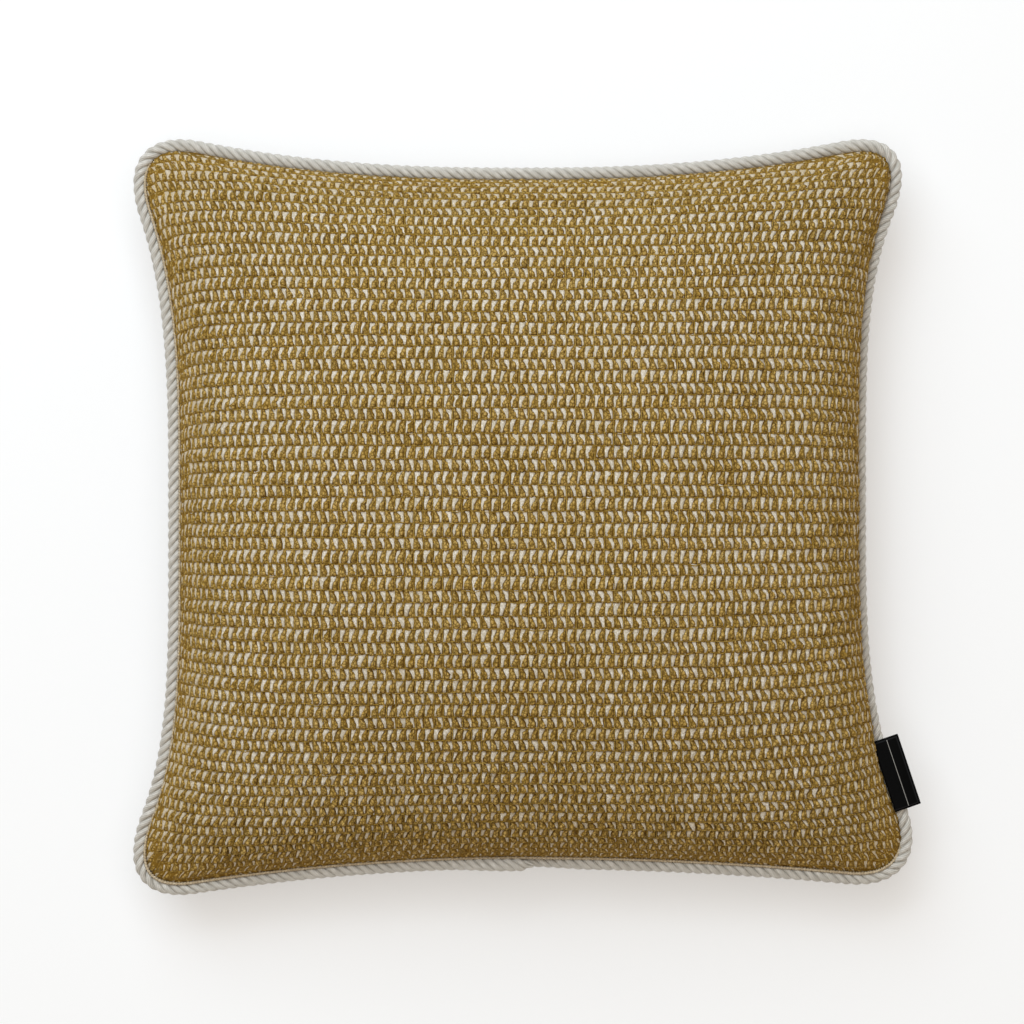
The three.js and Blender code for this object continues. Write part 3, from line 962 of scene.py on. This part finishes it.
def yarn_material(
        name, shade, tint, hollow, low, high, line_depth, lump, lump_depth, crease,
        roughness=0.85, sheen=0.15, specular=0.25):
    """Spun yarn: soft matt fibres that wind round it, with lumps, each stitch a little lighter or darker.

    The colour goes from shade to tint with the stitch's tone and with fine random fuzz, and over each
    lump it is lighter on the crown and darker at the edge, which is painted light and shade. Below the
    heights low to high it goes to hollow: painted shade deep between the stitches. Lump is the size of
    the plies' round places, lump depth is how far they stand out, and crease how dark the painted shade
    is between them. The fibre lines are drawn about twice as coarse as real ones, so that they show.
    """
    material, tree, output = new_material(name)
    tone = add_node(tree, "ShaderNodeAttribute", attribute_name="tone")
    height = add_node(tree, "ShaderNodeAttribute", attribute_name="height")
    place = add_node(tree, "ShaderNodeUVMap", uv_map="yarn")
    spot = add_node(tree, "ShaderNodeTexCoord").outputs["Object"]
    fibre = add_node(
        tree, "ShaderNodeTexWave",
        {"Vector": place.outputs["UV"], "Scale": BAND, "Distortion": 1.5,
         "Detail": 2.0, "Detail Scale": 3.0},
        bands_direction="X")
    fuzz = add_node(
        tree, "ShaderNodeTexNoise",
        {"Vector": spot, "Scale": 1 / (FUZZ_SIZE * MM), "Detail": 2.0})
    plies = add_node(
        tree, "ShaderNodeTexVoronoi",
        {"Vector": spot, "Scale": 1 / (lump * MM)},
        feature="F1")
    borders = add_node(
        tree, "ShaderNodeTexVoronoi",
        {"Vector": spot, "Scale": 1 / (lump * MM)},
        feature="DISTANCE_TO_EDGE")
    round_ply = add_node(
        tree, "ShaderNodeMapRange",
        {"Value": plies.outputs["Distance"], 1: 0.1, 2: 0.7, 3: 1.0, 4: 0.0})
    # Painted shade: darker in the creases between the plies
    between = add_node(
        tree, "ShaderNodeMapRange",
        {"Value": borders.outputs["Distance"], 1: 0.01, 2: 0.17, 3: 1 - crease, 4: 1.0})
    lines = add_node(
        tree, "ShaderNodeMapRange",
        {"Value": fibre.outputs["Fac"], 3: 1 - line_depth, 4: 1 + 0.3 * line_depth})
    # Partly painted light and shade: lighter over the crown of each ply lump, darker at its edge, plus
    # random fuzz of the fibres; also the bump's height
    raised = add_node(
        tree, "ShaderNodeMath",
        {0: round_ply.outputs["Result"], 1: 0.5, 2: fuzz.outputs["Fac"]},
        operation="MULTIPLY_ADD")
    spread = add_node(
        tree, "ShaderNodeMapRange",
        {"Value": raised.outputs["Value"], 1: 0.5, 2: 1.1, 3: -0.5, 4: 0.5})
    mixed = add_node(
        tree, "ShaderNodeMath",
        {0: tone.outputs["Fac"], 1: spread.outputs["Result"]},
        operation="ADD", use_clamp=True)
    colour = add_node(
        tree, "ShaderNodeMix",
        {0: mixed.outputs["Value"], 6: linear(shade), 7: linear(tint)},
        data_type="RGBA")
    drawn = add_node(
        tree, "ShaderNodeMath",
        {0: lines.outputs["Result"], 1: between.outputs["Result"]},
        operation="MULTIPLY")
    lined = add_node(
        tree, "ShaderNodeVectorMath",
        {0: colour.outputs[2], 1: drawn.outputs["Value"]},
        operation="MULTIPLY")
    # Painted shade: where the height is low, deep between the stitches and close to the seam, the colour
    # goes to hollow
    uneven = add_node(
        tree, "ShaderNodeMath",
        {0: fuzz.outputs["Fac"], 1: 0.5, 2: height.outputs["Fac"]},
        operation="MULTIPLY_ADD")
    above = add_node(
        tree, "ShaderNodeMapRange",
        {"Value": uneven.outputs["Value"], 1: low + 0.25, 2: high + 0.25})
    deep = add_node(
        tree, "ShaderNodeMix",
        {0: above.outputs["Result"], 6: linear(hollow), 7: lined.outputs["Vector"]},
        data_type="RGBA")
    bump = add_node(
        tree, "ShaderNodeBump",
        {"Height": raised.outputs["Value"], "Strength": 1.0, "Distance": lump_depth * MM})
    shader = add_node(
        tree, "ShaderNodeBsdfPrincipled",
        {"Base Color": deep.outputs[2], "Roughness": roughness, "Sheen Weight": sheen,
         "Sheen Roughness": 0.4, "IOR": 1.5, "Specular IOR Level": specular,
         "Normal": bump.outputs["Normal"]})
    tree.links.new(shader.outputs["BSDF"], output.inputs["Surface"])
    return material


def backing_material():
    """Inner strands of the crochet, seen only between the stitches: dull, their dark ochre a painted shade.
    """
    material, tree, output = new_material("crochet_inner_strands")
    spot = add_node(tree, "ShaderNodeTexCoord").outputs["Object"]
    strands = add_node(
        tree, "ShaderNodeTexNoise",
        {"Vector": spot, "Scale": 1 / (INNER_STRAND_SIZE * MM), "Detail": 4.0})
    # Painted shade: the inner strands are darkened to the shade that falls between the stitches
    colour = add_node(
        tree, "ShaderNodeMix",
        {0: strands.outputs["Fac"], 6: linear("6e5018"), 7: linear("8d6d2a")},
        data_type="RGBA")
    bump = add_node(
        tree, "ShaderNodeBump",
        {"Height": strands.outputs["Fac"], "Strength": 0.6, "Distance": 0.8 * MM})
    shader = add_node(
        tree, "ShaderNodeBsdfPrincipled",
        {"Base Color": colour.outputs[2], "Roughness": 0.95, "Specular IOR Level": 0.1,
         "Normal": bump.outputs["Normal"]})
    tree.links.new(shader.outputs["BSDF"], output.inputs["Surface"])
    return material


def ribbon_material(fold):
    """Black woven satin: a fine rib across the ribbon, a tone-on-tone border and one thin pale line.

    The ribbon's map is in millimetres: along its length, and from its lower edge round the fold. The
    border runs at an even distance from the fold and both ends, and the line along the middle of the
    upper layer.
    """
    material, tree, output = new_material("black_satin_ribbon")
    place = add_node(tree, "ShaderNodeUVMap", uv_map="ribbon")
    parts = add_node(tree, "ShaderNodeSeparateXYZ", {"Vector": place.outputs["UV"]})
    length, run = parts.outputs["X"], parts.outputs["Y"]
    from_end = add_node(
        tree, "ShaderNodeMath", {0: LABEL_LENGTH, 1: length}, operation="SUBTRACT")
    ends = add_node(
        tree, "ShaderNodeMath", {0: length, 1: from_end.outputs["Value"]}, operation="MINIMUM")
    from_fold = add_node(
        tree, "ShaderNodeMath", {0: run, 1: fold + LABEL_FOLD_EDGE}, operation="SUBTRACT")
    inset = add_node(
        tree, "ShaderNodeMath",
        {0: ends.outputs["Value"], 1: from_fold.outputs["Value"]},
        operation="MINIMUM")
    on_border = add_node(
        tree, "ShaderNodeMath",
        {0: inset.outputs["Value"], 1: LABEL_BORDER, 2: LABEL_BORDER_HALF_WIDTH},
        operation="COMPARE")
    at_line = add_node(
        tree, "ShaderNodeMath",
        {0: from_fold.outputs["Value"], 1: LABEL_LINE, 2: LABEL_LINE_HALF_WIDTH},
        operation="COMPARE")
    within = add_node(
        tree, "ShaderNodeMath", {0: ends.outputs["Value"], 1: LABEL_BORDER}, operation="GREATER_THAN")
    on_line = add_node(
        tree, "ShaderNodeMath",
        {0: at_line.outputs["Value"], 1: within.outputs["Value"]},
        operation="MULTIPLY")
    rib = add_node(
        tree, "ShaderNodeTexWave",
        {"Vector": place.outputs["UV"], "Scale": BAND / LABEL_RIB, "Distortion": 0.2},
        bands_direction="X")
    colour = add_node(
        tree, "ShaderNodeMix",
        {0: rib.outputs["Fac"], 6: linear("020202"), 7: linear("070708")},
        data_type="RGBA")
    bordered = add_node(
        tree, "ShaderNodeMix",
        {0: on_border.outputs["Value"], 6: colour.outputs[2], 7: linear("1e1e20")},
        data_type="RGBA")
    lined = add_node(
        tree, "ShaderNodeMix",
        {0: on_line.outputs["Value"], 6: bordered.outputs[2], 7: linear("94938f")},
        data_type="RGBA")
    bump = add_node(
        tree, "ShaderNodeBump",
        {"Height": rib.outputs["Fac"], "Strength": 0.4, "Distance": 0.15 * MM})
    shader = add_node(
        tree, "ShaderNodeBsdfPrincipled",
        {"Base Color": lined.outputs[2], "Roughness": 0.45, "Specular IOR Level": 0.04,
         "Normal": bump.outputs["Normal"]})
    tree.links.new(shader.outputs["BSDF"], output.inputs["Surface"])
    return material


def floor_material():
    """Matt white studio table of frosted acrylic, lit a little from below, which thins the shadows."""
    material, tree, output = new_material("lit_white_studio_table")
    shader = add_node(
        tree, "ShaderNodeBsdfPrincipled",
        {"Base Color": linear("c4c5c7"), "Roughness": 0.9,
         "Emission Color": linear("ffffff"), "Emission Strength": 0.41})
    tree.links.new(shader.outputs["BSDF"], output.inputs["Surface"])
    return material


# Stage

def add_floor():
    """A wide pale floor under the cushion, and a round backdrop that sweeps up from it far away.

    The backdrop is a quarter circle turned round the middle: its reach grows with the sine of the
    turn, and its height with one minus the cosine.
    """
    material = floor_material()
    half = BACKDROP_START + BACKDROP_SWEEP
    corners = np.array([[-half, -half, 0], [half, -half, 0], [half, half, 0], [-half, half, 0]])
    floor = make_piece("floor", corners, [np.array([[0, 1, 2, 3]])], material)
    turns = np.linspace(0, np.pi / 2, BACKDROP_LINES[0])
    turn, around = np.meshgrid(turns, np.linspace(0, 2 * np.pi, BACKDROP_LINES[1]), indexing="ij")
    out = BACKDROP_START + BACKDROP_SWEEP * np.sin(turn)
    up = BACKDROP_SWEEP * (1 - np.cos(turn))
    sweep = np.stack([out * np.cos(around), out * np.sin(around), up], axis=-1)
    backdrop = make_piece("backdrop", sweep.reshape(-1, 3), [grid_faces(*turn.shape)[:, ::-1]], material)


def add_light(name, place, aim, size, power, colour):
    """A soft square light at a place, turned to an aim, all in metres and watts."""
    lamp = bpy.data.lights.new(name, "AREA")
    lamp.color = linear(colour)[:3]
    lamp.size = size
    lamp.energy = power
    light = bpy.data.objects.new(name, lamp)
    light.location = place
    bpy.context.scene.collection.objects.link(light)
    direction = np.array(aim) - np.array(place)
    light.rotation_mode = "QUATERNION"
    light.rotation_quaternion = Vector(direction).to_track_quat("-Z", "Y")


def add_camera():
    """Looks straight down at the face, as the photograph does, with its top towards +Y."""
    lens = bpy.data.cameras.new("camera")
    lens.sensor_width = 36.0
    lens.lens = lens.sensor_width * CAMERA_HEIGHT / PICTURE_WIDTH
    lens.clip_end = 50.0
    camera = bpy.data.objects.new("camera", lens)
    height = SEAM_HEIGHT + CAMERA_HEIGHT
    camera.location = (PICTURE_MIDDLE[0] * MM, PICTURE_MIDDLE[1] * MM, height * MM)
    bpy.context.scene.collection.objects.link(camera)
    bpy.context.scene.camera = camera


def add_surroundings(colour, strength):
    """Even light from all round, as from a pale room. A warm colour makes the shades warm."""
    world = bpy.data.worlds.new("studio")
    world.use_nodes = True
    background = world.node_tree.nodes["Background"]
    background.inputs["Color"].default_value = linear(colour)
    background.inputs["Strength"].default_value = strength
    bpy.context.scene.world = world
    bpy.context.scene.view_settings.view_transform = "Standard"


yarns = {
    # Loose matt cotton: the pale fluffy tufts; deep between the stitches their colour goes to an ochre
    # painted shade, which also stands in for light reflected off the gold
    "white": yarn_material(
        "off_white_cotton_yarn", shade="d4ccbc", tint="f0eae0", hollow="b0965f", low=0.1, high=0.92,
        line_depth=0.1, lump=1.8, lump_depth=0.5, crease=0.12),
    # Thick matt cotton: the lumpy ochre ground, with painted shade in the creases between its plies and
    # deep between the stitches
    "gold": yarn_material(
        "ochre_cotton_yarn", shade="a98538", tint="ddbb70", hollow="785920", low=0.22, high=0.82,
        line_depth=0.1, lump=2.5, lump_depth=1.2, crease=0.6, sheen=0.04, specular=0.08),
    # The same cotton spun thinner: fine ochre lines between the columns and the rows, with painted shade at
    # their roots
    "thread": yarn_material(
        "ochre_binding_thread", shade="a88432", tint="d9b86a", hollow="7a5916", low=0.25, high=0.85,
        line_depth=0.15, lump=1.8, lump_depth=0.8, crease=0.25, sheen=0.04, specular=0.08),
}
# Smooth viscose with a soft gloss: the clean pale edge, its fibres wound along each strand, with painted
# shade in the grooves between the strands
cord_yarn = yarn_material(
    "off_white_viscose_cord", shade="c2beb6", tint="dad6cf", hollow="aea799", low=0.0, high=0.6,
    line_depth=0.3, lump=4.0, lump_depth=0.06, crease=0.0, roughness=0.5, sheen=0.3)
# Plain beige cotton: a thin dull line beside the cord
tape_cotton = yarn_material(
    "beige_cotton_tape", shade="b8a587", tint="dccdb2", hollow="8a7654", low=0.0, high=0.5,
    line_depth=0.2, lump=2.0, lump_depth=0.1, crease=0.1)

cover, swelling = padded_cover(backing_material())
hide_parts("filled_cover")
cover_pieces = [cover, *crochet(True, swelling, yarns), *crochet(False, swelling, yarns)]
for piece in cover_pieces:
    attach(piece, "root")

strands = cord_strands(cord_yarn)
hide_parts("edge_cord")
for piece in (strands, cord_tape(tape_cotton)):
    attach(piece, "root")

label, label_run = folded_label()
label.data.materials.append(ribbon_material(label_run / 2))
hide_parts("side_label")
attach(label, "root")

add_floor()
add_camera()
add_surroundings(colour="ffdfb0", strength=0.29)
add_light("key", place=(-0.85, 1.75, 2.3), aim=(0, 0, 0.06), size=2.2, power=54.5, colour="e1f2ff")
add_light("top", place=(-0.2, 0.5, 3.2), aim=(0, 0, 0), size=2.6, power=55.5, colour="f8fcff")
